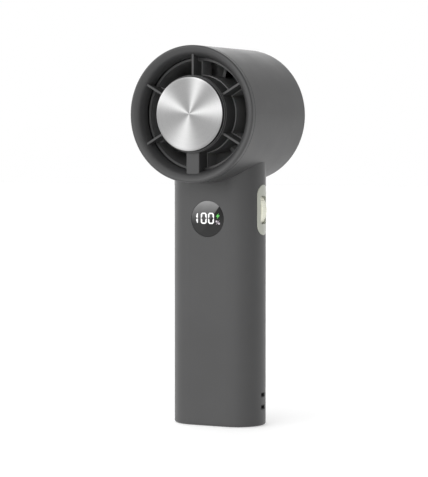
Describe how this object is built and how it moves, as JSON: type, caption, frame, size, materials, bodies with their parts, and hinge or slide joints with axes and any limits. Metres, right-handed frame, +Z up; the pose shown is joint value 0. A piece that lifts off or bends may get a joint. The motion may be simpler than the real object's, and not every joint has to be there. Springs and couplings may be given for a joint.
{
  "type": "hand-held turbo fan",
  "caption": "Pocket turbo fan with a straight barrel head, round cooling plate, spoked outlet, thumb-wheel speed control, round display and an upright grip.",
  "frame": {"origin": "middle of the foot, on the surface the fan stands on", "axes": "+Z up along the grip, -Y the way the air blows, +X the thumb-wheel side"},
  "size_m": [0.075, 0.0712, 0.2107],
  "materials": {
    "shell_grey": "satin mould texture",
    "grille_grey": "satin",
    "brushed_plate": "spun brushed",
    "dark_plastic": "matte",
    "cap_plastic": "matte",
    "pad_rubber": "matte",
    "foam": "closed-cell foam",
    "screen_mesh": "fine woven mesh",
    "white_ceramic": "fired alumina",
    "sink_aluminium": "extruded",
    "screw_steel": "plated",
    "bearing_steel": "ground",
    "lamination": "stacked sheet",
    "copper": "enamelled wire",
    "magnet": "nickel plated",
    "nickel": "plated strip",
    "port_steel": "bright",
    "smoked_lens": "polished",
    "ivory_plastic": "pearl satin",
    "switch_black": "moulded",
    "cell_wrap": "shrink sleeve",
    "board_green": "solder mask",
    "lead_red": "insulated wire",
    "lead_black": "insulated wire"
  },
  "bodies": {
    "shell": {"barrel": "shell_grey", "grip_shell": "shell_grey", "front_grille": "grille_grey", "rear_grille": "grille_grey", "cooling_plate": "brushed_plate", "motor_frame": "dark_plastic", "wheel_bracket": "dark_plastic", "display_panel": "dark_plastic", "loop_insert": "dark_plastic", "bottom_cap": "cap_plastic", "battery_tray": "cap_plastic", "base_pad": "pad_rubber", "insulation_ring": "foam", "dust_screen": "screen_mesh", "cooling_chip": "white_ceramic", "heat_sink": "sink_aluminium", "head_screws": "screw_steel", "cap_screws": "screw_steel", "cooler_screws": "screw_steel", "frame_screws": "screw_steel", "board_screws": "screw_steel", "motor_bearings": "bearing_steel", "stator_core": "lamination", "stator_coils": "copper", "cell_strips": "nickel", "charge_port": "port_steel", "display_lens": "smoked_lens", "wheel_bezel": "ivory_plastic", "push_switch": "switch_black", "wheel_sensor": "switch_black", "board_chips": "switch_black", "battery_cell_left": "cell_wrap", "battery_cell_right": "cell_wrap", "main_board": "board_green", "charge_board": "board_green", "cooler_leads": "lead_red", "battery_leads": "lead_red", "motor_leads": "lead_black"},
    "rotor": {"impeller": "dark_plastic", "rotor_bell": "lamination", "rotor_magnet": "magnet", "motor_shaft": "bearing_steel"},
    "carrier": {"wheel_carrier": "dark_plastic", "switch_plunger": "switch_black", "wheel_pin": "bearing_steel"},
    "wheel": {"thumb_wheel": "ivory_plastic", "wheel_magnet": "magnet"}
  },
  "joints": [
    {"name": "impeller_spin", "type": "hinge", "parent": "shell", "child": "rotor", "pos_m": [0, 0, 0.1732], "axis": [0, 1, 0], "continuous": true},
    {"name": "wheel_press", "type": "slide", "parent": "shell", "child": "carrier", "axis": [-1, 0, 0], "range_m": [0, 0.0006], "stiffness_N_per_m": 900, "springref_m": -0.001},
    {"name": "wheel_turn", "type": "hinge", "parent": "carrier", "child": "wheel", "pos_m": [0.0159, 0, 0.1204], "axis": [0, 1, 0], "continuous": true}
  ]
}
